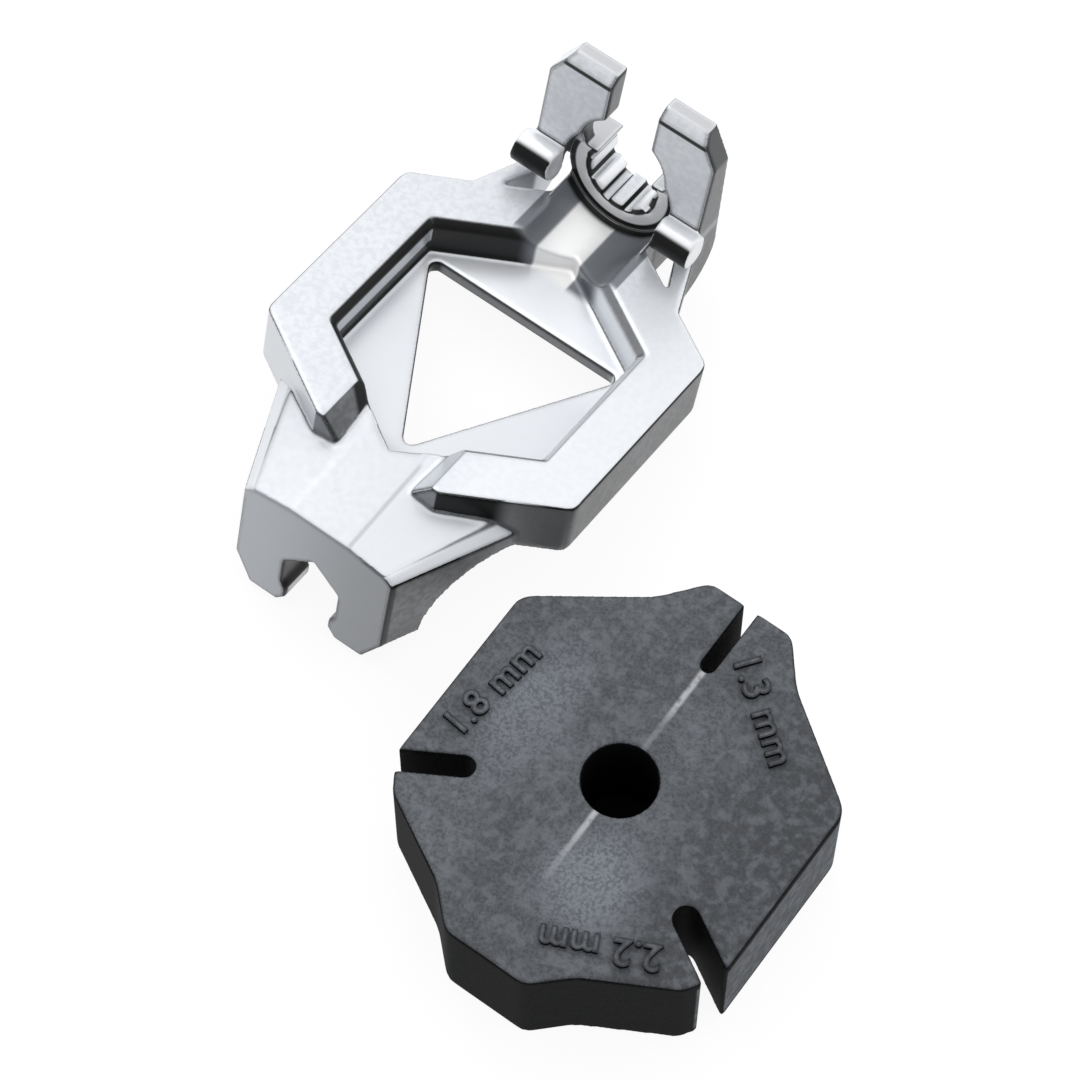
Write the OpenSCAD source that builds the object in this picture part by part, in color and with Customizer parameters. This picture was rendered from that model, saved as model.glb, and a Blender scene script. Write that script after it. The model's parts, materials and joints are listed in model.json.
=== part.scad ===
// Spoke wrench set: a cast wrench for nipples and a moulded holder for bladed spokes.
// Both lie on a table, whose top is z = 0, and both point along +Y. The origin is the middle of the set.

/* [Ring] */
// Width of the ring across its two straight sides
ring_w = 32.4; // [30:0.2:36]
// Length of the ring between its front and back corners
ring_l = 40; // [38:0.2:43]
// Length of each straight side of the ring
ring_side = 20; // [16:0.2:22]
// Width of the raised rim of the ring
rim_w = 5.3; // [4.6:0.1:6]
// Height of the rim's top above the neck's end
rim_rise = 3.1; // [2.4:0.1:3.6]
// Height of the rim's bottom below the neck's end
rim_drop = 3.1; // [2.8:0.1:4]
// Bevel along the inside of the rim's top
rim_bevel = 0.7; // [0.3:0.1:1]
// Rounding of the ring's outer corners
ring_r = 1.2; // [0.4:0.1:2]
// Gap between the tops of the two rim arms, where the neck starts
channel_w = 11.4; // [10:0.2:12]
// Distance from the ring's middle to the ends of the two rim arms
arm_reach = 16.1; // [15:0.1:17]
// Gap between the feet of the two rim arms
channel_foot_w = 8; // [7:0.2:9.4]

/* [Web] */
// Thickness of the floor inside the ring
web_t = 1.4; // [1:0.1:1.8]
// Depth of the floor's top below the neck
web_sink = 0.8; // [0.4:0.1:1.2]
// Width of the triangular hole in the floor
tri_w = 20.6; // [16:0.2:21]
// Length of the triangular hole in the floor
tri_l = 18.4; // [15:0.2:19]
// Distance from the ring's middle to the triangle's straight side
tri_front = 6.6; // [5:0.1:6.8]
// Radius of the triangular hole's corners
tri_r = 0.7; // [0.3:0.1:1.2]

/* [Neck] */
// Distance from the ring's middle to the end face of the lower head
head_reach = 23.7; // [23:0.1:27]
// Width of the neck where it leaves the ring
neck_root_w = 25; // [22:0.2:27]
// Width of the neck at the end face
neck_end_w = 15.4; // [14:0.2:18]
// Width of the flat band along the middle of the neck
band_w = 6; // [4:0.2:8]
// Fall of the neck's sloping sides
neck_fall = 1.4; // [0.6:0.1:2]
// Bevel along the neck's two long edges
neck_bevel = 0.6; // [0.3:0.1:1]
// Rise of the neck from its end face to the feet of the rim arms
neck_rise = 1.4; // [0.8:0.1:1.8]

/* [Lower head] */
// Depth of the lower head below the neck
head_depth = 13.4; // [12.8:0.1:15]
// Thickness of the lower head's wall
leg_t = 3.6; // [2.8:0.1:4.4]
// Radius of the hollow behind the lower head
hollow_r = 8; // [6:0.2:8.6]
// Width across the jaws, for the flats of a square nipple
notch_w = 5.65; // [5:0.05:6]
// Narrowed opening between the lips of the jaws
notch_mouth_w = 4.6; // [4:0.05:4.9]
// Opening between the rounded tips of the jaws
notch_tip_w = 6.2; // [5.8:0.1:7]
// Straight length of each jaw
jaw_len = 3; // [2:0.1:4]
// Height of the pointed roof over the jaws
notch_roof_h = 2.4; // [1.5:0.1:3]
// Height of the lips, from the jaw's flat to the tip
lip_h = 3; // [2:0.1:3.4]
// Width of the sloping corners at the bottom
head_corner_w = 1.7; // [1:0.1:2.4]
// Height of the sloping corners at the bottom
head_corner_h = 3; // [2:0.1:4]

/* [Spoke trough] */
// Radius of the round trough across the rim
trough_r = 5.6; // [5:0.1:5.8]

/* [Splined socket] */
// Diameter between the lands of the splined socket
spline_d = 6.2; // [5.6:0.05:6.4]
// Diameter at the bottom of the splines
spline_root_d = 7.4; // [7:0.05:7.6]
// Width of each spline groove
spline_w = 1; // [0.6:0.05:1.2]
// Number of spline grooves in a full circle
spline_count = 9; // [7:2:11]
// Height of the socket's axis above the neck
socket_z = 6.3; // [6:0.1:7]
// Distance from the ring's middle to the socket's front face
socket_front = 19.5; // [19:0.1:20]
// Length of the splined socket
socket_len = 4.1; // [3.4:0.1:5]
// Wall round the splined socket
socket_wall = 1.9; // [1.6:0.1:2.4]
// Width of the clear space over the splines
clear_w = 8.8; // [8:0.1:9.2]
// Height of the clear space's middle above the socket's axis
clear_rise = 3.1; // [2.8:0.1:3.6]

/* [Fork] */
// Height of the prongs above the neck
prong_h = 18.2; // [16:0.1:20]
// Gap between the prongs
prong_gap = 4.8; // [4.4:0.1:5.4]
// Width over both prongs
fork_w = 17.4; // [16.6:0.1:18.4]
// Thickness of the prongs
prong_t = 2.3; // [2:0.1:3]
// Distance from the ring's middle to the prongs' front faces
prong_front = 18.6; // [18:0.1:19]
// Bevel between the prongs' tops and their front faces
tip_bevel = 0.9; // [0.4:0.1:1.2]
// Width of the cut corners of the prongs
tip_corner_w = 1.8; // [1:0.1:2.4]
// Height of the cut corners of the prongs
tip_corner_h = 3; // [2:0.1:4]
// Width over the round bar at the foot of the prongs
bar_w = 18.8; // [17.6:0.1:20]
// Diameter of that round bar
bar_d = 3.2; // [2.6:0.1:3.6]
// Height of the round bar's axis above the neck
bar_z = 5.8; // [5:0.1:6.4]
// Width of the foot that joins the fork to the ring
foot_w = 10; // [8.6:0.2:11]
// Thickness of the two cheeks from the prongs to the ring
cheek_t = 1.3; // [1:0.1:1.8]
// Width over both cheeks at the ring
cheek_w = 23.6; // [21:0.2:25]
// Depth of the cheeks' upright part, front to back
cheek_l = 4.2; // [3.6:0.1:4.6]
// Radius of the cheeks' outer corner
cheek_r = 5; // [4:0.1:6]

/* [Blade holder] */
// Thickness of the holder
holder_t = 12.5; // [8:0.5:14]
// Diameter of the holder's hole
holder_hole_d = 6.4; // [5:0.1:8]
// Width over the holder's two flat sides
holder_w = 32.8; // [31:0.2:36]
// Length from the holder's middle to its narrow slot's end
holder_front = 18.8; // [17:0.1:20]
// Length from the holder's middle to its plain end
holder_back = 18.8; // [17:0.1:20]
// Distance from the holder's middle to the inner ends of the slots
slot_reach = 11.9; // [11:0.1:13]
// Width of the slot for the thinnest blades
slot_thin_w = 1.3; // [0.8:0.05:1.5]
// Width of the slot for middle blades
slot_mid_w = 1.8; // [1.6:0.05:2]
// Width of the slot for the thickest blades
slot_thick_w = 2.2; // [2.1:0.05:2.6]
// Rise of the ridge along the middle of the top face
ridge_h = 0.4; // [0.2:0.05:0.6]
// Rounding of the holder's upright corners
holder_r = 2; // [1:0.1:2.4]

/* [Layout] */
// Distance from the ring's middle to the holder's middle, across
holder_dx = 33; // [32:0.5:40]
// Distance from the ring's middle to the holder's middle, along
holder_dy = -26; // [-32:0.5:-24]

/* [Hidden] */

// How far a cut runs past the faces that it opens
over = 1;
// Chords that stand for one round corner
corner_steps = 5;

// The ring's slanting sides, and the same sides inside the rim
ring_tip = ring_l / 2;
ring_slope = (ring_tip - ring_side / 2) / (ring_w / 2);
bore_w = ring_w - 2 * rim_w;
bore_tip = ring_tip - rim_w * sqrt(1 + pow(ring_slope, 2));

// Where the ring's outer wall lies at a distance x from the middle
function ring_y(x) = ring_tip - x * ring_slope;

// Lower head
leg_y = -head_reach + leg_t;
lip_z = -head_depth + lip_h;
shoulder_z = lip_z + jaw_len;
roof_z = shoulder_z + notch_roof_h;
lip_flat_share = 0.35;

// Fork
socket_back = socket_front + socket_len;
socket_r = spline_root_d / 2 + socket_wall;
prong_back = prong_front + prong_t;
prong_side_h = prong_h - tip_corner_h;
bar_y = prong_front - bar_d * 3 / 8;
cheek_back = prong_front + cheek_l;
shelf_z = socket_z + clear_rise / 2;

// Rest pose: the wrench lies on the inner edge of its lower head and on the fork's foot
rest_tilt = atan((head_depth - rim_drop) / (socket_back - leg_y));
rest_lift = socket_back * sin(rest_tilt) + rim_drop * cos(rest_tilt);

// Middle of the set seen from above, counted from the ring's middle
set_right = holder_dx + holder_w / 2;
cradle_front = socket_back * cos(rest_tilt) + shelf_z * sin(rest_tilt);
prongs_front = prong_back * cos(rest_tilt) + prong_h * sin(rest_tilt);
set_front = max(cradle_front, prongs_front);
set_x = (set_right - ring_w / 2) / 2;
set_y = (set_front + holder_dy - holder_back) / 2;

// A prism along Y with a front profile in x and z
module along_y(from, to) {
    translate([0, to, 0]) rotate([90, 0, 0]) linear_extrude(to - from) children();
}

// A prism along X with a side profile in y and z
module along_x(from, to) {
    translate([from, 0, 0]) rotate([90, 0, 90]) linear_extrude(to - from) children();
}

// The same shape on both sides of the middle
module both_sides() {
    children();
    mirror([1, 0, 0]) children();
}

// Points of the ring's outline, from its width and its front corner
function ring_points(w, tip) = let (side = tip - w / 2 * ring_slope)
    [[w / 2, side], [0, tip], [-w / 2, side], [-w / 2, -side], [0, -tip], [w / 2, -side]];

// Outline with each corner rounded to its own radius
function round_corner(p, q, s, r) =
    let (u = (p - q) / norm(p - q), v = (s - q) / norm(s - q))
    let (half = acos(u * v) / 2, mid = (u + v) / norm(u + v))
    let (centre = q + mid * r / sin(half), turn = cross(u, v) > 0 ? 1 : -1)
    let (start = atan2(-mid.y, -mid.x), sweep = (90 - half) * turn)
    [for (i = [0:corner_steps]) centre + r * [
        cos(start + sweep * (1 - 2 * i / corner_steps)),
        sin(start + sweep * (1 - 2 * i / corner_steps))]];
function rounded(points, radii) = let (n = len(points))
    [for (i = [0:n - 1])
        each round_corner(points[(i + n - 1) % n], points[i], points[(i + 1) % n], radii[i])];

module ring() {
    rim_h = rim_rise + rim_drop;
    outline = ring_points(ring_w, ring_tip);
    radii = [for (p = outline) ring_r];
    foot_z = neck_rise - neck_fall / 4;
    difference() {
        translate([0, 0, -rim_drop]) linear_extrude(rim_h) polygon(rounded(outline, radii));
        translate([0, 0, -rim_drop - over])
            linear_extrude(rim_h + 2 * over) polygon(ring_points(bore_w, bore_tip));
        translate([0, 0, rim_rise - rim_bevel])
            linear_extrude(2 * rim_bevel, scale = 1 + 2 * rim_bevel / (bore_w / 2))
                polygon(ring_points(bore_w, bore_tip));
        // Ends of the two rim arms
        translate([-ring_w / 2, -arm_reach - ring_w, -rim_drop - over])
            cube([ring_w, ring_w, rim_h + 2 * over]);
        along_y(-ring_tip, 0) polygon([
            [-channel_foot_w / 2, -rim_drop - over], [-channel_foot_w / 2, foot_z],
            [-channel_w / 2, rim_rise], [-channel_w / 2, rim_rise + over],
            [channel_w / 2, rim_rise + over], [channel_w / 2, rim_rise],
            [channel_foot_w / 2, foot_z], [channel_foot_w / 2, -rim_drop - over]]);
    }
}

module web() {
    corners = [[tri_w / 2, tri_front], [-tri_w / 2, tri_front], [0, tri_front - tri_l]];
    radii = [for (p = corners) tri_r];
    translate([0, 0, -web_sink - web_t]) difference() {
        linear_extrude(web_t) polygon(ring_points(bore_w + rim_w, bore_tip + rim_w / 2));
        translate([0, 0, -over]) linear_extrude(web_t + 2 * over) polygon(rounded(corners, radii));
    }
}

module notch_profile() {
    half_jaw = notch_w / 2;
    half_lip = notch_mouth_w / 2;
    half_tip = notch_tip_w / 2;
    low = lip_z - lip_h * (1 - lip_flat_share) / 2;
    lower = low - lip_h * lip_flat_share;
    side = [[half_jaw, shoulder_z], [half_jaw, lip_z], [half_lip, low], [half_lip, lower],
        [half_tip, -head_depth], [half_tip, -head_depth - over]];
    polygon(concat([[0, roof_z]], side, [for (i = [len(side) - 1:-1:0]) [-side[i].x, side[i].y]]));
}

module neck_and_lower_head() {
    half_root = neck_root_w / 2;
    half_end = neck_end_w / 2;
    root_y = -ring_y(half_root);
    arm_y = channel_foot_w / 2 * ring_slope - bore_tip;
    middle_y = tri_front - tri_l - 3 * tri_r;
    neck_angle = atan(neck_rise / (head_reach + arm_y));
    corner_z = -head_depth + head_corner_h;
    difference() {
        intersection() {
            // Seen from above
            translate([0, 0, -head_depth]) linear_extrude(head_depth + rim_rise) polygon([
                [-half_root, root_y], [-half_end, -head_reach], [half_end, -head_reach], [half_root, root_y],
                [channel_foot_w / 2, arm_y], [0, middle_y], [-channel_foot_w / 2, arm_y]]);
            // Seen from the end
            along_y(-head_reach, arm_y) polygon([
                [-half_root, rim_rise], [-half_root, corner_z], [-half_end, corner_z],
                [-half_end + head_corner_w, -head_depth], [half_end - head_corner_w, -head_depth],
                [half_end, corner_z], [half_root, corner_z], [half_root, rim_rise]]);
            // The roof, which rises towards the ring
            translate([0, -head_reach, 0]) rotate([neck_angle, 0, 0])
                along_y(-head_depth, head_reach) polygon([
                    [-band_w / 2, 0], [-half_root, -neck_fall], [-half_root, -2 * head_depth],
                    [half_root, -2 * head_depth], [half_root, -neck_fall], [band_w / 2, 0]]);
        }
        // Hollow behind the lower head
        along_x(-half_root - over, half_root + over) {
            translate([leg_y + hollow_r, -rim_drop - hollow_r]) circle(r = hollow_r, $fn = 96);
            translate([leg_y, -head_depth - over])
                square([head_reach, head_depth - rim_drop - hollow_r + over]);
            translate([leg_y + hollow_r, -head_depth - over])
                square([head_reach, head_depth - rim_drop + over]);
        }
        along_y(-head_reach - over, leg_y + hollow_r) notch_profile();
        both_sides() long_edge_cut(half_end, half_root - half_end, root_y + head_reach);
    }
}

// What the bevel takes off the neck's edge, from the end face to the root
module long_edge_cut(half_end, spread, run) {
    end_fall = neck_fall * (half_end - band_w / 2) / (half_end + spread - band_w / 2);
    translate([half_end, -head_reach, -end_fall]) rotate([0, 0, -atan(spread / run)]) rotate([0, 45, 0])
        translate([-run, -run / 2, -neck_bevel / sqrt(2)]) cube([2 * run, 2 * run, run]);
}

module prongs() {
    half = fork_w / 2;
    intersection() {
        along_y(prong_front, prong_back) polygon([
            [-half, bar_z], [half, bar_z], [half, prong_side_h], [half - tip_corner_w, prong_h],
            [-half + tip_corner_w, prong_h], [-half, prong_side_h]]);
        along_x(-half, half) polygon([
            [prong_front, bar_z], [prong_front, prong_h - tip_bevel], [prong_front + tip_bevel, prong_h],
            [prong_back, prong_h], [prong_back, bar_z]]);
    }
    translate([-bar_w / 2, bar_y, bar_z]) rotate([0, 90, 0]) cylinder(d = bar_d, h = bar_w, $fn = 48);
}

module cradle() {
    intersection() {
        along_y(socket_front, socket_back) translate([0, socket_z]) circle(r = socket_r, $fn = 96);
        translate([-socket_r, socket_front, 0]) cube([2 * socket_r, socket_len, shelf_z]);
    }
    // Foot under the cradle
    along_x(-foot_w / 2, foot_w / 2) polygon([
        [bore_tip, -rim_drop], [bore_tip, 0], [bar_y, bar_z], [socket_back, socket_z / 2],
        [socket_back, -rim_drop]]);
}

module cheeks() {
    half = fork_w / 2;
    foot_y = ring_y(cheek_w / 2) - rim_w / 4;
    front_y = prong_front + prong_t / 4;
    both_sides() intersection() {
        // Seen from above
        translate([0, 0, -rim_drop]) linear_extrude(rim_drop + prong_h) polygon([
            [half, cheek_back], [half, front_y], [cheek_w / 2, foot_y], [cheek_w / 2 - cheek_t, foot_y],
            [half - cheek_t, front_y - cheek_t], [half - cheek_t, cheek_back]]);
        // Seen from the side
        along_x(0, cheek_w) difference() {
            union() {
                polygon([
                    [foot_y, -rim_drop], [foot_y, prong_side_h], [prong_back, prong_side_h],
                    [cheek_back, cheek_r - rim_drop], [cheek_back - cheek_r, -rim_drop]]);
                translate([cheek_back - cheek_r, cheek_r - rim_drop]) circle(r = cheek_r, $fn = 64);
            }
            translate([foot_y - over, rim_rise]) square([front_y - foot_y + over, prong_h]);
        }
    }
}

module socket_cut() {
    along_y(socket_front - bar_d - over, socket_back + prong_t + over) {
        translate([0, socket_z]) {
            circle(d = spline_d, $fn = 72);
            for (i = [0:spline_count - 1]) rotate(270 + (i + 0.5) * 360 / spline_count)
                translate([0, -spline_w / 2]) square([spline_root_d / 2, spline_w]);
        }
        intersection() {
            translate([0, socket_z + clear_rise]) circle(d = clear_w, $fn = 96);
            translate([-clear_w / 2, shelf_z]) square([clear_w, clear_w]);
        }
        translate([-prong_gap / 2, socket_z]) square([prong_gap, prong_h]);
    }
}

module trough_cut() {
    along_y(0, socket_front) translate([0, socket_z]) circle(r = trough_r, $fn = 96);
}

module wrench_body() {
    color("silver") translate([-set_x, -set_y, rest_lift]) rotate([-rest_tilt, 0, 0]) difference() {
        union() {
            ring();
            web();
            neck_and_lower_head();
            prongs();
            cradle();
            cheeks();
        }
        socket_cut();
        trough_cut();
    }
}

// Half of the holder's outline, front to back: x, y and radius, in shares of its sizes
holder_side_shares = [
    [0.25, 1, 0.8], [0.43, 0.81, 4], [1, 0.46, 1], [1, -0.46, 1], [0.885, -0.62, 1], [0.43, -0.84, 3],
    [0.24, -1, 1]];

module slot(angle, width) {
    rotate(angle) {
        translate([slot_reach + width / 2, 0, -over]) cylinder(d = width, h = holder_t + 2 * over, $fn = 32);
        translate([slot_reach + width / 2, -width / 2, -over])
            cube([holder_w, width, holder_t + 2 * over]);
    }
}

module blade_holder() {
    right = [for (s = holder_side_shares)
        [s.x * holder_w / 2, s.y * (s.y > 0 ? holder_front : holder_back)]];
    left = [for (i = [len(right) - 1:-1:0]) [-right[i].x, right[i].y]];
    radii = [for (s = holder_side_shares) s.z * holder_r];
    left_radii = [for (i = [len(radii) - 1:-1:0]) radii[i]];
    slope = atan(ridge_h / (holder_w / 2));
    color("dimgray") translate([holder_dx - set_x, holder_dy - set_y, 0]) difference() {
        linear_extrude(holder_t) polygon(rounded(concat(right, left), concat(radii, left_radii)));
        for (side = [0, 180]) rotate(side) translate([0, -holder_w, holder_t]) rotate([0, slope, 0])
            cube([holder_w, 2 * holder_w, holder_t]);
        translate([0, 0, -over]) cylinder(d = holder_hole_d, h = holder_t + 2 * over, $fn = 64);
        slot(90, slot_thin_w);
        slot(210, slot_mid_w);
        slot(330, slot_thick_w);
    }
}

wrench_body();
blade_holder();
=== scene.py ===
"""Looks of a spoke wrench set: a plated casting and a moulded blade holder on a pale table."""
import json
import math
from types import SimpleNamespace

import bpy
from mathutils import Matrix, Vector


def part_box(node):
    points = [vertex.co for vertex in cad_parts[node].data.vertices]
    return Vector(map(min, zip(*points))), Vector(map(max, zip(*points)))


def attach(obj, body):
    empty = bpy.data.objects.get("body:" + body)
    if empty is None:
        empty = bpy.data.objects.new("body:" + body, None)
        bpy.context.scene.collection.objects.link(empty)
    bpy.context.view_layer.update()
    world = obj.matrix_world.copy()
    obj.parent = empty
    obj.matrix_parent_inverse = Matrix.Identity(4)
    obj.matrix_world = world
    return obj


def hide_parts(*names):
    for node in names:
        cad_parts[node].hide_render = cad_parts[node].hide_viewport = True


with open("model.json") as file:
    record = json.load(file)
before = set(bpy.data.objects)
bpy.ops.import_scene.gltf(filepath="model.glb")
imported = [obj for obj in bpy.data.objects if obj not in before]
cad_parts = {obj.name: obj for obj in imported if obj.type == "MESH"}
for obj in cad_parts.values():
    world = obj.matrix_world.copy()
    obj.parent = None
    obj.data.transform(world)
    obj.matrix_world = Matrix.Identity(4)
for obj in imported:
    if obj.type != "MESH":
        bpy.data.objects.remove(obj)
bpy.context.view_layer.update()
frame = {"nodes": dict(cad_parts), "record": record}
scene = bpy.context.scene

MM = 0.001
METRES_TO_MM = (1 / MM, 1 / MM, 1 / MM)

# The wrench's sizes in mm, in its own upright frame: x across, y from the head to the fork, z up.
# That frame starts at the ring's middle, level with the neck's top.
RING_SLOPE = 0.617
BORE_HALF = 10.9
BORE_TIP = 13.8
RIM_RISE = 3.1
RIM_DROP = 3.1
ARM_REACH = 16.1
NECK_START = -11
NECK_WIDENING = 0.41
NECK_BAND_HALF = 3
HEAD_REACH = 23.7
HEAD_HALF = 7.7
LEG_BACK = -20.1
NOTCH_HALF = 3.1
NOTCH_ROOF_Z = -5
NOTCH_LIP_Z = -10.4
TROUGH_START = 11
TROUGH_R = 5.6
SOCKET_FRONT = 19.5
SOCKET_LEN = 4.1
SOCKET_Z = 6.3
SOCKET_R = 5.6
SPLINE_R = 3.1
SPLINE_ROOT_R = 3.7
SHELF_RISE = 1.6
PRONG_FRONT = 18.6
TIP_LINE_Z = 17.1
FOOT_HALF = 5
BAR_Z = 5.8
BAR_R = 1.6

# The wrench lies tilted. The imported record's mounts give the tilt and the place of its upright frame.
mounts = {mount["name"]: mount for mount in frame["record"]["mounts"]}
notch_axis = mounts["square_notch"]["axis"]
WRENCH_TILT = math.atan2(-notch_axis[1], -notch_axis[2])
tilted = Matrix.Rotation(-WRENCH_TILT, 4, "X")
socket_middle = tilted @ (Vector((0, SOCKET_FRONT + SOCKET_LEN / 2, SOCKET_Z)) * MM)
WRENCH_ORIGIN = Vector(mounts["splined_socket"]["pos_m"]) - socket_middle
WRENCH_FRAME = Matrix.Translation(WRENCH_ORIGIN) @ tilted

# The holder's own frame starts under the middle of its hole
holder_low, holder_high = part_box("blade_holder")
holder_middle = (holder_low + holder_high) / 2
HOLDER_FRAME = Matrix.Translation((holder_middle.x, holder_middle.y, 0))
HOLDER_H = holder_high.z / MM
RIDGE_H = 0.4
ROOF_SLOPE = RIDGE_H * MM / (holder_high.x - holder_middle.x)

# Raised size marks beside the slots, in mm
MARK_SIZE = 3.3
MARK_STROKE = 0.09
MARK_RELIEF = 0.55
MARK_SUNK = 0.1

# How blue the greys are: on walls, on the palest faces and on plastic
PLATED = 0.06
WHITENED = 0.05
PLASTIC = 0.1
# How light the painted black shade lines along the casting's edges are
BLACK_LINE = 0.004


# Nodes
class Nodes:
    """A short way to write a material's or the world's node tree. A mask is a number from 0 to 1."""

    def __init__(self, owner):
        owner.use_nodes = True
        self.tree = owner.node_tree
        self.tree.nodes.clear()

    def add(self, kind, inputs=None, **settings):
        node = self.tree.nodes.new(kind)
        for name, value in settings.items():
            setattr(node, name, value)
        for name, value in (inputs or {}).items():
            self.put(node.inputs[name], value)
        return node

    def put(self, socket, value):
        if isinstance(value, bpy.types.NodeSocket):
            self.tree.links.new(value, socket)
        else:
            socket.default_value = value

    def math(self, operation, a, b=0.0, clamp=False):
        node = self.add("ShaderNodeMath", {0: a, 1: b}, operation=operation, use_clamp=clamp)
        return node.outputs[0]

    def vector(self, operation, a, b, output="Vector"):
        return self.add("ShaderNodeVectorMath", {0: a, 1: b}, operation=operation).outputs[output]

    def upright(self, vector):
        """Turn a vector from the set's frame to the wrench's own upright one."""
        inputs = {"Vector": vector, "Angle": WRENCH_TILT}
        return self.add("ShaderNodeVectorRotate", inputs, rotation_type="X_AXIS").outputs[0]

    def axes(self, vector):
        return self.add("ShaderNodeSeparateXYZ", {0: vector}).outputs

    def off(self, value, middle):
        """How far a value lies from the middle, to either side."""
        return self.math("ABSOLUTE", self.math("SUBTRACT", value, middle))

    def all_of(self, *masks):
        product = masks[0]
        for mask in masks[1:]:
            product = self.math("MULTIPLY", product, mask)
        return product

    def any_of(self, *masks):
        largest = masks[0]
        for mask in masks[1:]:
            largest = self.math("MAXIMUM", largest, mask)
        return largest

    def opposite(self, mask):
        return self.math("SUBTRACT", 1.0, mask)

    def spread(self, value, low, high, to_low=0.0, to_high=1.0):
        """Go smoothly from one result to another as the value goes from low to high, or down to high."""
        inputs = {"Value": value, "From Min": low, "From Max": high, "To Min": to_low, "To Max": to_high}
        node = self.add("ShaderNodeMapRange", inputs, interpolation_type="SMOOTHSTEP")
        return node.outputs["Result"]

    def mix(self, factor, a, b):
        """Mix two colours. The Mix node's colour inputs are its sockets 6 and 7, and the output is 2."""
        node = self.add("ShaderNodeMix", {0: factor, 6: a, 7: b}, data_type="RGBA")
        return node.outputs[2]

    def noise(self, where, scale, detail=3.0, rough=0.55):
        inputs = {"Vector": where, "Scale": scale, "Detail": detail, "Roughness": rough}
        return self.add("ShaderNodeTexNoise", inputs).outputs["Fac"]

    def bump(self, height, distance, strength, normal=None):
        inputs = {"Height": height, "Distance": distance, "Strength": strength}
        if normal:
            inputs["Normal"] = normal
        return self.add("ShaderNodeBump", inputs).outputs["Normal"]

    def rounded_normal(self, radius):
        """A normal rounded over the edges, and how well the true one agrees with it: 1 where it is flat."""
        soft = self.add("ShaderNodeBevel", {"Radius": radius}, samples=6).outputs[0]
        hard = self.add("ShaderNodeNewGeometry").outputs["True Normal"]
        return soft, self.vector("DOT_PRODUCT", soft, hard, "Value")


def grey(level, blue=0.0):
    """A colour of one level, with its blue raised by a share and its red lowered by a little less."""
    return (level * (1 - 0.6 * blue), level, level * (1 + blue), 1)


# Plated casting
def place_on_casting(n):
    """Where a point lies, in mm in the wrench's own frame, and which way it faces there."""
    here = n.add("ShaderNodeTexCoord").outputs
    at = SimpleNamespace(place=here["Object"])
    offset = n.vector("MULTIPLY", n.vector("SUBTRACT", at.place, WRENCH_ORIGIN), METRES_TO_MM)
    at.x, at.y, at.z = n.axes(n.upright(offset))
    at.rightward, at.forward, at.upward = n.axes(n.upright(here["Normal"]))
    at.across = n.math("ABSOLUTE", at.x)
    at.mottle = n.noise(at.place, scale=1700)
    at.grain = n.spread(at.mottle, 0.38, 0.64)
    at.cloud = n.noise(at.place, scale=150, detail=2)
    return at


def zones_of_ring_and_neck(n, at):
    """Masks for the tops and walls of the ring, the web, the neck and the lower head."""
    neck_side = n.math("SUBTRACT", at.across, n.all_of(n.math("ADD", at.y, HEAD_REACH), NECK_WIDENING))
    on_neck = n.spread(at.y, NECK_START, NECK_START - 2)
    at.long_bevel = n.all_of(
        on_neck,
        n.spread(neck_side, HEAD_HALF - 1.1, HEAD_HALF - 0.8),
        n.spread(at.upward, 0.42, 0.55),
        n.spread(at.upward, 0.92, 0.88))
    at.top = n.any_of(n.spread(at.upward, 0.74, 0.95), at.long_bevel)
    at.wall = n.opposite(at.top)
    at.end = n.all_of(at.wall, n.spread(at.y, -HEAD_REACH + 0.5, -HEAD_REACH + 0.1))
    slant = n.math("ADD", n.math("ABSOLUTE", at.y), n.all_of(at.across, RING_SLOPE))
    inside = n.all_of(
        n.spread(slant, BORE_TIP + 1.8, BORE_TIP + 1.2),
        n.spread(at.across, BORE_HALF + 1.3, BORE_HALF + 0.9))
    at.shaded = n.all_of(inside, at.wall, n.spread(at.rightward, -0.2, 0.3))
    at.web = n.all_of(inside, n.spread(at.z, 0.4, 0.1))
    at.outside = n.all_of(n.opposite(inside), n.spread(at.y, PRONG_FRONT - 3.6, PRONG_FRONT - 4.6))
    at.notch = n.all_of(
        n.spread(at.across, NOTCH_HALF + 0.3, NOTCH_HALF + 0.15),
        n.spread(at.y, -HEAD_REACH + 0.08, -HEAD_REACH + 0.2),
        n.spread(at.z, NOTCH_ROOF_Z + 0.4, NOTCH_ROOF_Z + 0.1),
        n.spread(at.y, LEG_BACK + 0.3, LEG_BACK + 0.1))
    at.left_front = n.all_of(n.spread(at.rightward, -0.3, -0.5), n.spread(at.forward, -0.5, -0.7))
    at.left_flank = n.all_of(
        n.spread(at.rightward, -0.5, -0.7), n.spread(at.z, -RIM_DROP - 0.5, -RIM_DROP - 0.2))
    at.before_head = n.spread(at.y, -ARM_REACH - 1.5, -ARM_REACH - 1.1)
    at.arm_foot = n.all_of(at.before_head, n.spread(at.y, NECK_START, NECK_START - 1))
    at.neck = n.all_of(on_neck, n.spread(at.z, RIM_RISE - 0.5, RIM_RISE - 0.9))
    at.fold = n.all_of(
        n.spread(n.off(at.x, NECK_BAND_HALF), 0.3, 0.05),
        n.spread(at.y, NECK_START - 2, NECK_START - 3))


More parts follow.
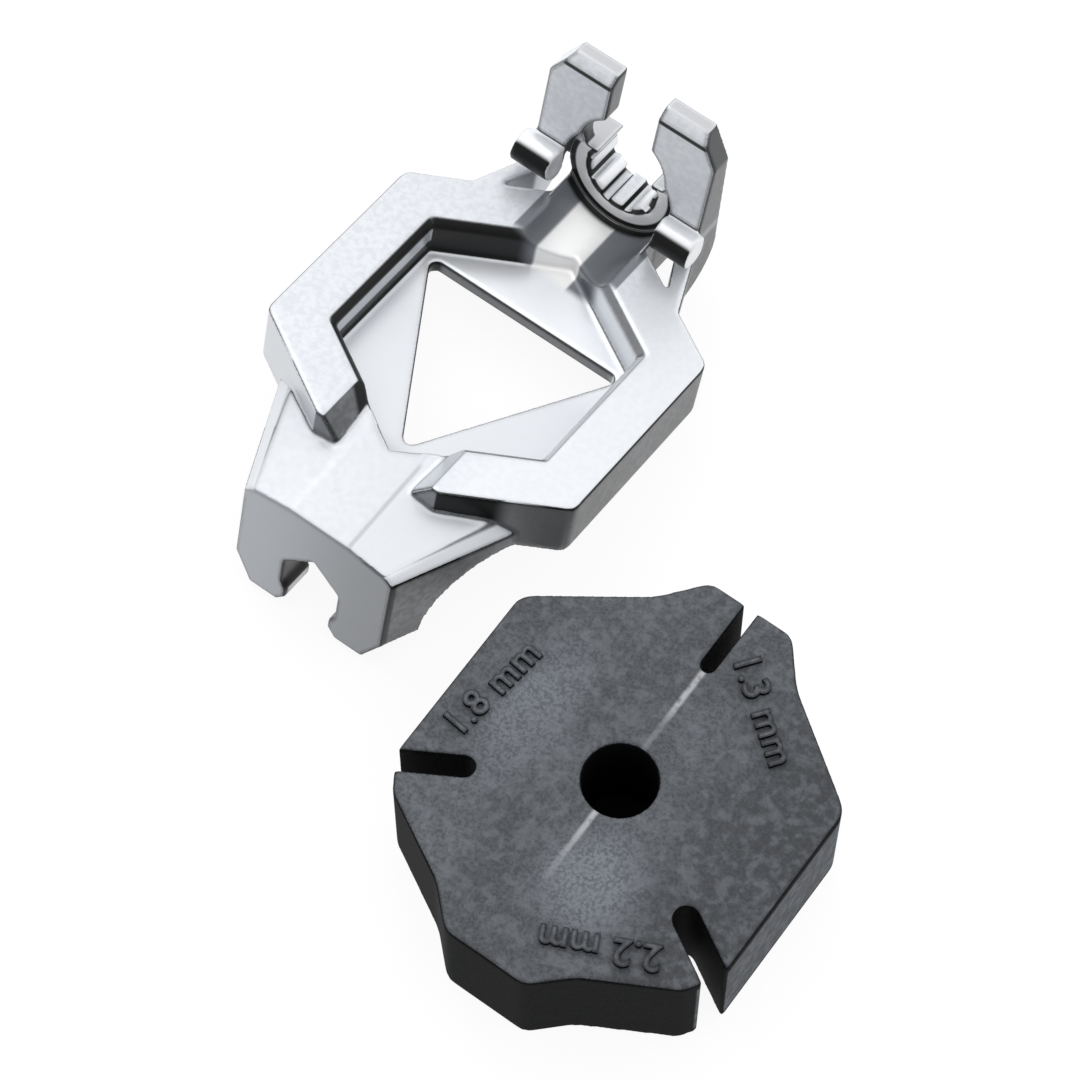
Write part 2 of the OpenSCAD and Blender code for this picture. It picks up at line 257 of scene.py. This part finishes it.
def zones_of_fork(n, at):
    """Masks for the prongs, the round bars, the trough and the splined socket."""
    at.fork = n.all_of(
        n.spread(at.z, RIM_RISE + 1.4, RIM_RISE + 3.4),
        n.spread(at.y, PRONG_FRONT - 1.4, PRONG_FRONT - 0.4))
    before_socket = n.spread(at.y, SOCKET_FRONT - 0.1, SOCKET_FRONT - 0.2)
    at.trough = n.all_of(
        n.spread(at.y, TROUGH_START, TROUGH_START + 1),
        n.spread(at.across, TROUGH_R, TROUGH_R - 0.2),
        n.spread(at.z, RIM_RISE + 0.4, RIM_RISE + 0.1),
        before_socket)
    at.bar = n.all_of(
        n.spread(at.across, FOOT_HALF, FOOT_HALF + 0.4),
        n.spread(at.y, PRONG_FRONT - 0.02, PRONG_FRONT - 0.1),
        n.spread(at.y, PRONG_FRONT - 2 * BAR_R, PRONG_FRONT - 2 * BAR_R + 0.3),
        n.spread(at.z, BAR_Z - BAR_R - 0.3, BAR_Z - BAR_R - 0.1))
    above_axis = n.math("SUBTRACT", at.z, SOCKET_Z)
    at.from_axis = n.math("SQRT", n.math("ADD", n.all_of(at.x, at.x), n.all_of(above_axis, above_axis)))
    at.socket = n.all_of(
        n.opposite(before_socket),
        n.spread(at.from_axis, SOCKET_R + 0.2, SOCKET_R - 0.1),
        n.spread(above_axis, SHELF_RISE + 0.2, SHELF_RISE - 0.2))
    at.socket_face = n.all_of(
        n.spread(at.forward, -0.8, -0.95), n.spread(at.from_axis, SPLINE_ROOT_R, SPLINE_ROOT_R + 0.2))
    at.satin = n.any_of(at.end, at.fork, at.socket)


def edges_of_casting(n, at):
    """Masks for the painted black shade lines along edges and in the end face's corner, for the painted
    highlight along the tops' edges, and for the painted deep shade under the right arm.
    """
    at.soft_normal, turned = n.rounded_normal(0.6 * MM)
    at.edge = n.spread(turned, 0.985, 0.92)
    at.fine_edge = n.spread(turned, 0.994, 0.965)
    lip = n.any_of(n.spread(at.upward, 0.06, 0.24), n.spread(at.upward, -0.08, -0.3))
    at.line = n.any_of(at.fine_edge, n.all_of(at.outside, lip, n.opposite(at.arm_foot)))
    at.corner = n.all_of(
        at.wall,
        n.spread(at.y, -HEAD_REACH + 0.7, -HEAD_REACH + 0.4),
        n.spread(at.forward, -0.96, -0.9),
        n.spread(at.rightward, 0.1, 0.25))
    at.under_arm = n.all_of(
        at.before_head,
        n.spread(at.y, NECK_START - 1.6, NECK_START - 2.6),
        n.spread(at.z, -0.4, 0.6),
        n.spread(at.forward, -0.4, -0.6),
        n.spread(at.rightward, 0.1, 0.3),
        n.spread(at.upward, 0.3, 0.15))


def wall_colour(n, at):
    """Walls in painted shade: dull mottled grey, with painted light to the front and on the left, painted
    black shade in the bore, the notch and under the right arm, and black painted shade lines along the
    edges.
    """
    colour = n.mix(n.spread(at.cloud, 0.35, 0.65), grey(0.13, PLATED), grey(0.2, PLATED))
    colour = n.mix(n.all_of(at.grain, 0.45), colour, grey(0.08, PLATED))
    # Painted light: walls facing the front are paler
    colour = n.mix(n.spread(at.forward, -0.4, -0.75, 0.0, 0.55), colour, grey(0.42, PLATED))
    ring_right = n.all_of(
        n.spread(at.rightward, 0.7, 0.95), n.spread(at.y, NECK_START - 0.5, NECK_START + 0.5))
    # Painted shade on the ring's right flank
    colour = n.mix(n.all_of(ring_right, 0.6), colour, grey(0.05, PLATED))
    left_cheek = n.all_of(
        n.spread(at.x, -TROUGH_R - 0.4, -TROUGH_R - 0.9),
        n.spread(at.y, TROUGH_START - 0.5, TROUGH_START + 0.5))
    # Painted light on walls facing the left front, on the left flank and on the left cheek
    colour = n.mix(n.any_of(at.left_front, at.left_flank, left_cheek), colour, grey(0.72, WHITENED))
    # Painted shade in the notch, with a painted highlight at its lip
    notch_tip = n.spread(at.z, NOTCH_LIP_Z - 0.3, NOTCH_LIP_Z - 0.7)
    colour = n.mix(at.notch, colour, n.mix(notch_tip, grey(0.006, PLATED), grey(0.6, 0.04)))
    # Painted shade on the bore's inner walls, with a painted highlight stripe across the middle of the wall
    # facing right
    stripe_z = 1.4
    stripe = n.all_of(n.spread(n.off(at.z, stripe_z), 0.95, 0.6), n.spread(at.rightward, 0.8, 0.95))
    colour = n.mix(at.shaded, colour, n.mix(stripe, grey(0.008, PLATED), grey(0.6, PLATED)))
    # Painted shadow under the right arm
    colour = n.mix(at.under_arm, colour, grey(0.006, PLATED))
    # Painted shade: black lines along the edges, left out on the pale left faces
    lined = n.opposite(n.any_of(at.left_front, n.all_of(left_cheek, 0.6)))
    return n.mix(n.all_of(at.line, lined), colour, grey(BLACK_LINE, PLATED))


def socket_colour(n, at):
    """White lands as painted highlight and black grooves as painted shade, with a black painted shadow line
    round the front face.
    """
    # Painted shade in the spline grooves, painted highlight on the lands
    groove = n.all_of(n.spread(at.from_axis, SPLINE_R + 0.04, SPLINE_R + 0.2), n.opposite(at.socket_face))
    splines = n.mix(groove, grey(0.95, 0.02), grey(0.008, PLATED))
    # Painted shadow line round the front face
    rim = n.mix(n.spread(at.from_axis, 4.75, 4.95), grey(0.95, 0.02), grey(BLACK_LINE, PLATED))
    colour = n.mix(at.socket_face, splines, rim)
    return n.mix(n.spread(at.forward, 0.8, 0.95), colour, grey(0.55, WHITENED))


def satin_colour_and_shade(n, at):
    """Pale satin prongs painted as lit, with painted shade on their right sides and painted dark lines at
    their tips and edges; the end face of the lower head in grey painted shade that darkens to the right,
    with black painted shade lines along its edges; and the socket.
    """
    colour = n.mix(at.grain, grey(0.78, PLATED), grey(0.86, WHITENED))
    # Painted shade on the fork's right sides
    right_side = n.all_of(at.fork, n.spread(at.rightward, 0.4, 0.75))
    colour = n.mix(right_side, colour, grey(0.1, PLATED))
    # Painted shade: the end face darkens to the right
    to_the_right = n.spread(at.x, -HEAD_HALF + 0.7, HEAD_HALF - 0.7)
    end_face = n.mix(to_the_right, grey(0.46, 0.07), grey(0.3, 0.07))
    colour = n.mix(at.end, colour, end_face)
    # Painted dark reflection line along the prongs' tips, and painted shade along their edges
    tip_line = n.all_of(
        at.fork, n.spread(n.off(at.z, TIP_LINE_Z), 0.28, 0.14), n.spread(at.forward, -0.7, -0.9))
    colour = n.mix(n.any_of(n.all_of(at.fork, at.fine_edge), tip_line), colour, grey(0.02, PLATED))
    # Painted shade: black lines along the end face's edges, left out at its upper left
    upper_left = n.all_of(n.spread(at.z, -2.4, -1.9), n.spread(at.x, 5, 4))
    end_line = n.all_of(at.end, at.fine_edge, n.opposite(n.all_of(upper_left, 0.8)))
    colour = n.mix(end_line, colour, grey(0.01, PLATED))
    return n.mix(at.socket, colour, socket_colour(n, at))


def top_colour(n, at):
    """Painted near white as lit, paler towards the right, with painted light on the web towards the fork,
    painted shade on the neck past the fold, a faint painted shade line along the fold, and a painted
    highlight along the edges.
    """
    colour = n.mix(at.grain, grey(0.69, WHITENED), grey(0.62, PLATED))
    colour = n.mix(n.spread(at.cloud, 0.4, 0.8, 0.0, 0.3), colour, grey(0.6, 0.08))
    colour = n.mix(n.spread(at.x, 4, 9, 0.0, 0.6), colour, grey(0.76, 0.04))
    colour = n.mix(at.fork, colour, grey(0.5, 0.03))
    # Painted light: the web pales towards the fork
    colour = n.mix(at.web, colour, n.mix(n.spread(at.y, 0, 7), grey(0.68, WHITENED), grey(0.88, 0.04)))
    # Painted shade on the neck's facet past the fold
    past_fold = n.spread(at.x, NECK_BAND_HALF - 0.2, NECK_BAND_HALF + 0.2)
    neck_tone = n.mix(past_fold, grey(0.54, WHITENED), grey(0.7, WHITENED))
    colour = n.mix(n.all_of(at.neck, 0.85), colour, neck_tone)
    # Painted shade line along the neck's fold
    colour = n.mix(n.all_of(at.fold, 0.5), colour, grey(0.3, PLATED))
    # Painted highlight along the edges and on the neck's long bevel
    edge_highlight = n.any_of(at.edge, n.all_of(at.long_bevel, 0.7))
    return n.mix(edge_highlight, colour, grey(0.88, WHITENED))


def plated_casting():
    """Bright plating with its light and shade painted in: painted near white on the faces seen most,
    painted grey shade with black painted edge lines down the walls.
    """
    material = bpy.data.materials.new("plated_casting")
    n = Nodes(material)
    at = place_on_casting(n)
    zones_of_ring_and_neck(n, at)
    zones_of_fork(n, at)
    edges_of_casting(n, at)

    # Painted light and shade: upward faces take the painted near-white top colour, walls the painted grey
    # shade
    colour = n.mix(at.top, n.mix(at.satin, wall_colour(n, at), satin_colour_and_shade(n, at)), top_colour(n, at))
    # Painted shade in the end face's corner
    colour = n.mix(n.all_of(at.corner, 0.95), colour, grey(0.006, PLATED))
    # Painted reflection in the trough: a white stripe between grey sides
    stripe_x = -1.1
    stripe_half = 2.1
    trough_reflection = n.spread(n.off(at.x, stripe_x), stripe_half, stripe_half - 0.35)
    colour = n.mix(at.trough, colour, n.mix(trough_reflection, grey(0.2, 0.1), grey(0.95)))
    # Painted shadow where the trough meets the socket's face
    crescent = n.all_of(at.trough, n.spread(at.y, SOCKET_FRONT - 1.2, SOCKET_FRONT - 0.6))
    colour = n.mix(crescent, colour, grey(BLACK_LINE, PLATED))
    # Painted light on the round bars' tops and painted shade below
    bar_colour = n.mix(n.spread(at.forward, -0.5, -0.72), grey(0.85, 0.03), grey(0.012, PLATED))
    colour = n.mix(at.bar, colour, bar_colour)

    # Pale faces are less metallic than walls, and the fork's and the socket's fronts least of all
    pale = n.any_of(at.satin, at.top, n.all_of(at.trough, trough_reflection))
    facing_front = n.all_of(n.any_of(at.fork, at.socket), n.spread(at.forward, -0.7, -0.9))
    metal = n.all_of(n.spread(pale, 0, 1, 0.55, 0.4), n.spread(facing_front, 0, 1, 1.0, 0.3))
    rough = n.math("ADD", n.spread(at.mottle, 0.3, 0.7, 0.0, 0.05), 0.3)
    relief = n.bump(n.noise(at.place, scale=260, detail=2), 0.04 * MM, 0.35, at.soft_normal)
    relief = n.bump(n.noise(at.place, scale=900), 0.02 * MM, 0.4, relief)
    shader = n.add("ShaderNodeBsdfPrincipled", {
        "Base Color": colour, "Metallic": metal, "Roughness": rough, "Normal": relief})
    n.add("ShaderNodeOutputMaterial", {"Surface": shader.outputs[0]})
    return material


# Black plastic
def place_on_holder(n):
    """Where a point lies, in mm from the holder's middle, and which way it faces."""
    here = n.add("ShaderNodeTexCoord").outputs
    at = SimpleNamespace(place=here["Object"])
    at.local = n.vector("MULTIPLY", n.vector("SUBTRACT", at.place, holder_middle), METRES_TO_MM)
    at.x, at.y, at.z = n.axes(at.local)
    at.rightward, _, at.upward = n.axes(here["Normal"])
    at.speckle = n.noise(at.place, scale=3200, detail=2, rough=0.7)
    at.speckled = n.spread(at.speckle, 0.42, 0.6)
    at.patch = n.noise(at.place, scale=1000, detail=3, rough=0.6)
    return at


def holder_top_colour(n, at):
    """The top in painted light: grey with two pale spots and a darker right side in painted shade, under
    speckles, with a painted highlight along the ridge.
    """
    lower_pale_spot = n.vector("DISTANCE", at.local, (3.3, -8.7, 5), "Value")
    shortened = n.vector("MULTIPLY", at.local, (1, 0.45, 1))
    left_pale_spot = n.vector("DISTANCE", shortened, (-9.5, 0.3, 5), "Value")
    pale = n.any_of(n.spread(lower_pale_spot, 6.5, 1.5), n.spread(left_pale_spot, 5, 1.5, 0.0, 0.6))
    cloud = n.noise(at.place, scale=90, detail=2)
    pale = n.math("ADD", pale, n.spread(cloud, 0.45, 0.7, 0.0, 0.3), clamp=True)
    # Painted light: the top is a lit grey, paler at two spots
    colour = n.mix(pale, grey(0.1, PLASTIC), grey(0.21, 0.13))
    # Painted shade: the right side of the top is darker
    colour = n.mix(n.spread(at.x, 4, 13, 0.0, 0.6), colour, grey(0.05, PLASTIC))
    colour = n.mix(n.all_of(at.speckled, 0.5), colour, grey(0.045, PLASTIC))
    colour = n.mix(n.spread(at.patch, 0.42, 0.68, 0.0, 0.4), colour, grey(0.2, PLASTIC))
    near_slot = n.spread(at.y, 5, 8.5)
    near_hole = n.all_of(n.spread(at.y, -11, -4), n.spread(at.y, 2, -1))
    # Painted highlight along the ridge
    ridge_highlight = n.all_of(
        n.any_of(near_slot, near_hole, 0.25),
        n.spread(n.math("ABSOLUTE", at.x), 0.4, 0.08),
        n.spread(at.y, -12, -9),
        n.spread(at.patch, 0.25, 0.5, 0.35, 1.0))
    return n.mix(ridge_highlight, colour, grey(0.42, 0.04))


def side_colour(n, at):
    """Black, painted darker still as shade, as the slots and the hole are, but in painted light on the
    right side between two black lines.
    """
    # Painted shade: the sides, the slots and the hole are near black
    black = n.mix(at.speckled, grey(0.002, 0.2), grey(0.006, 0.2))
    # Painted light on the right side between two black lines
    painted_light_side = n.mix(n.spread(at.patch, 0.4, 0.65), grey(0.1, PLASTIC), grey(0.16, PLASTIC))
    right_side = n.all_of(n.spread(at.rightward, 0.85, 0.95), n.spread(at.x, 11, 12))
    between_lines = n.all_of(n.spread(at.z, 4.9, 4.6), n.spread(at.z, -5.6, -5.2))
    return n.mix(n.all_of(right_side, between_lines), black, painted_light_side)


def black_plastic():
    """Black moulded plastic. Its top is painted a lit satin grey with a painted dark shade outline, and its
    sides are painted near black as shade.
    """
    material = bpy.data.materials.new("black_plastic")
    n = Nodes(material)
    at = place_on_holder(n)
    _, turned = n.rounded_normal(0.4 * MM)
    # Painted shade: a dark outline along the top's edges
    outline = n.spread(turned, 0.985, 0.92, 0.0, 0.85)
    top = n.mix(outline, holder_top_colour(n, at), grey(0.012, PLASTIC))
    upper = n.spread(at.upward, 0.65, 0.85)
    # Painted light on the top, painted shade on the sides
    colour = n.mix(upper, side_colour(n, at), top)
    rough = n.spread(upper, 0, 1, 0.75, 0.45)
    relief = n.bump(at.speckle, 0.04 * MM, 0.4)
    relief = n.bump(at.patch, 0.04 * MM, 0.3, relief)
    shader = n.add("ShaderNodeBsdfPrincipled", {
        "Base Color": colour, "Roughness": rough, "Normal": relief, "Specular IOR Level": 0.08})
    n.add("ShaderNodeOutputMaterial", {"Surface": shader.outputs[0]})
    return material


# Pieces
def rounded_copy(node, name, place, voxel, passes, share):
    """A closed copy of a CAD node with soft cast edges, remeshed in mm in the frame given by place."""
    mesh = frame["nodes"][node].data.copy()
    mesh.transform(Matrix.Scale(1 / MM, 4) @ place.inverted())
    piece = bpy.data.objects.new(name, mesh)
    scene.collection.objects.link(piece)
    weld = piece.modifiers.new("weld", "WELD")
    weld.merge_threshold = voxel / 100
    remesh = piece.modifiers.new("remesh", "REMESH")
    remesh.mode = "VOXEL"
    remesh.voxel_size = voxel
    smooth = piece.modifiers.new("smooth", "SMOOTH")
    smooth.factor = 0.5
    smooth.iterations = passes
    thin = piece.modifiers.new("thin", "DECIMATE")
    thin.ratio = share
    graph = bpy.context.evaluated_depsgraph_get()
    made = bpy.data.meshes.new_from_object(piece.evaluated_get(graph))
    piece.modifiers.clear()
    piece.data = made
    made.name = name
    made.transform(place @ Matrix.Scale(MM, 4))
    made.shade_smooth()
    weighted = piece.modifiers.new("weighted", "WEIGHTED_NORMAL")
    weighted.keep_sharp = False
    return piece


def size_mark(words, name, start, angle):
    """A slot's size in raised strokes that follow the sloping top, from a start in mm from the hole."""
    curve = bpy.data.curves.new(name, "FONT")
    curve.body = words
    curve.size = MARK_SIZE
    curve.align_y = "CENTER"
    curve.extrude = MARK_RELIEF / 2
    curve.offset = MARK_STROKE
    curve.space_character = 1.02
    text = bpy.data.objects.new(name, curve)
    scene.collection.objects.link(text)
    bpy.context.view_layer.update()
    mesh = bpy.data.meshes.new_from_object(text.evaluated_get(bpy.context.evaluated_depsgraph_get()))
    bpy.data.objects.remove(text)
    mesh.transform(Matrix.Translation((*start, 0)) @ Matrix.Rotation(math.radians(angle), 4, "Z"))
    for vertex in mesh.vertices:
        vertex.co.z += HOLDER_H - ROOF_SLOPE * abs(vertex.co.x) + MARK_RELIEF / 2 - MARK_SUNK
    mesh.transform(HOLDER_FRAME @ Matrix.Scale(MM, 4))
    piece = bpy.data.objects.new(name, mesh)
    scene.collection.objects.link(piece)
    return piece


def finish_piece(piece, material, slot, body, *nodes):
    piece.data.materials.clear()
    piece.data.materials.append(material)
    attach(piece, body)
    if nodes:
        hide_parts(*nodes)


# Floor, light and camera
def floor():
    """A pale floor, near white to the camera, that still takes shadows and has painted shade under the
    hole.
    """
    half = 3.0  # metres
    white_share = 0.88
    white_strength = 1.04
    pale = grey(0.9)
    shade = grey(0.01)
    hole_r = 3.4 * MM
    corners = [(-half, -half, 0), (half, -half, 0), (half, half, 0), (-half, half, 0)]
    mesh = bpy.data.meshes.new("floor")
    mesh.from_pydata(corners, [], [(0, 1, 2, 3)])
    obj = bpy.data.objects.new("floor", mesh)
    scene.collection.objects.link(obj)
    material = bpy.data.materials.new("floor")
    mesh.materials.append(material)
    n = Nodes(material)
    path = n.add("ShaderNodeLightPath").outputs
    seen = n.any_of(path["Is Camera Ray"], path["Is Glossy Ray"], path["Is Transmission Ray"])
    whitened = n.all_of(seen, white_share)
    white = n.add("ShaderNodeEmission", {"Color": grey(1.0), "Strength": white_strength}).outputs[0]
    plain = n.add("ShaderNodeBsdfDiffuse", {"Color": pale}).outputs[0]
    open_floor = n.add("ShaderNodeMixShader", {0: whitened, 1: plain, 2: white}).outputs[0]

    # Under the hole the floor's colour is painted with shade from ambient occlusion while the holder stands
    # on it
    open_sky = n.add("ShaderNodeAmbientOcclusion", {"Distance": 30 * MM}, samples=12).outputs["AO"]
    lit = n.spread(open_sky, 0.3, 0.7)
    dark = n.add("ShaderNodeBsdfDiffuse", {"Color": n.mix(lit, shade, pale)}).outputs[0]
    hole_floor = n.add("ShaderNodeMixShader", {0: n.all_of(whitened, lit), 1: dark, 2: white}).outputs[0]
    where = n.add("ShaderNodeNewGeometry").outputs["Position"]
    off_hole = n.vector("DISTANCE", where, HOLDER_FRAME.translation, "Value")
    under_hole = n.spread(off_hole, hole_r + 0.1 * MM, hole_r)
    shader = n.add("ShaderNodeMixShader", {0: under_hole, 1: open_floor, 2: hole_floor}).outputs[0]
    n.add("ShaderNodeOutputMaterial", {"Surface": shader})


def studio():
    """A soft studio: bright behind the object, darker on the camera's side."""
    world = bpy.data.worlds.new("studio")
    scene.world = world
    n = Nodes(world)
    way = n.add("ShaderNodeTexCoord").outputs["Generated"]
    panel = Vector((-0.15, 0.75, 0.64)).normalized()
    dim_side = 0.45
    bright_side = 1.3
    toward_panel = n.vector("DOT_PRODUCT", way, panel, "Value")
    bright = n.spread(toward_panel, 0.0, 0.6, dim_side, bright_side)
    background = n.add("ShaderNodeBackground", {"Color": grey(1.0), "Strength": bright})
    n.add("ShaderNodeOutputWorld", {"Surface": background.outputs[0]})
    lamp = bpy.data.lights.new("key", "AREA")
    lamp.size = 0.25
    lamp.energy = 0.4
    key = bpy.data.objects.new("key", lamp)
    scene.collection.objects.link(key)
    key.location = (-0.25, 0.2, 0.45)
    key.rotation_euler = (-key.location).to_track_quat("-Z", "Y").to_euler()


def camera():
    """The photograph's view, placed so that the top of the holder's hole lands on its own pixel."""
    up_angle = math.radians(66)
    round_angle = math.radians(36)
    field = math.radians(14)
    frame_px = 1080
    px_per_mm = 12.25
    hole_px = (620, 780)
    flat = math.cos(up_angle)
    back = Vector((math.sin(round_angle) * flat, -math.cos(round_angle) * flat, math.sin(up_angle)))
    right = Vector((math.cos(round_angle), math.sin(round_angle), 0))
    up = back.cross(right)
    distance = frame_px / 2 / math.tan(field / 2) / px_per_mm
    offset_x = (hole_px[0] - frame_px / 2) / px_per_mm
    offset_y = (hole_px[1] - frame_px / 2) / px_per_mm
    hole = Vector((holder_middle.x, holder_middle.y, holder_high.z))
    data = bpy.data.cameras.new("camera")
    data.angle = field
    data.clip_start = 0.01
    obj = bpy.data.objects.new("camera", data)
    scene.collection.objects.link(obj)
    obj.location = hole + (back * distance - right * offset_x + up * offset_y) * MM
    obj.rotation_euler = Matrix((right, up, back)).transposed().to_euler()
    scene.camera = obj


casting = rounded_copy("wrench_body", "wrench_casting", WRENCH_FRAME, voxel=0.18, passes=4, share=0.25)
finish_piece(casting, plated_casting(), "plated_casting", "wrench", "wrench_body")
moulding = rounded_copy("blade_holder", "holder_moulding", HOLDER_FRAME, voxel=0.22, passes=5, share=0.25)
plastic = black_plastic()
finish_piece(moulding, plastic, "black_plastic", "holder", "blade_holder")

MARKS = [
    ("1.8 mm", "size_mark_middle", (-13.84, -4.65), 83),
    ("1.3 mm", "size_mark_thin", (1.81, 14.94), -36.8),
    ("2.2 mm", "size_mark_thick", (11.62, -10.44), -154.4),
]
for words, name, start, angle in MARKS:
    finish_piece(size_mark(words, name, start, angle), plastic, "black_plastic", "holder")

floor()
studio()
camera()
scene.view_settings.view_transform = "Standard"
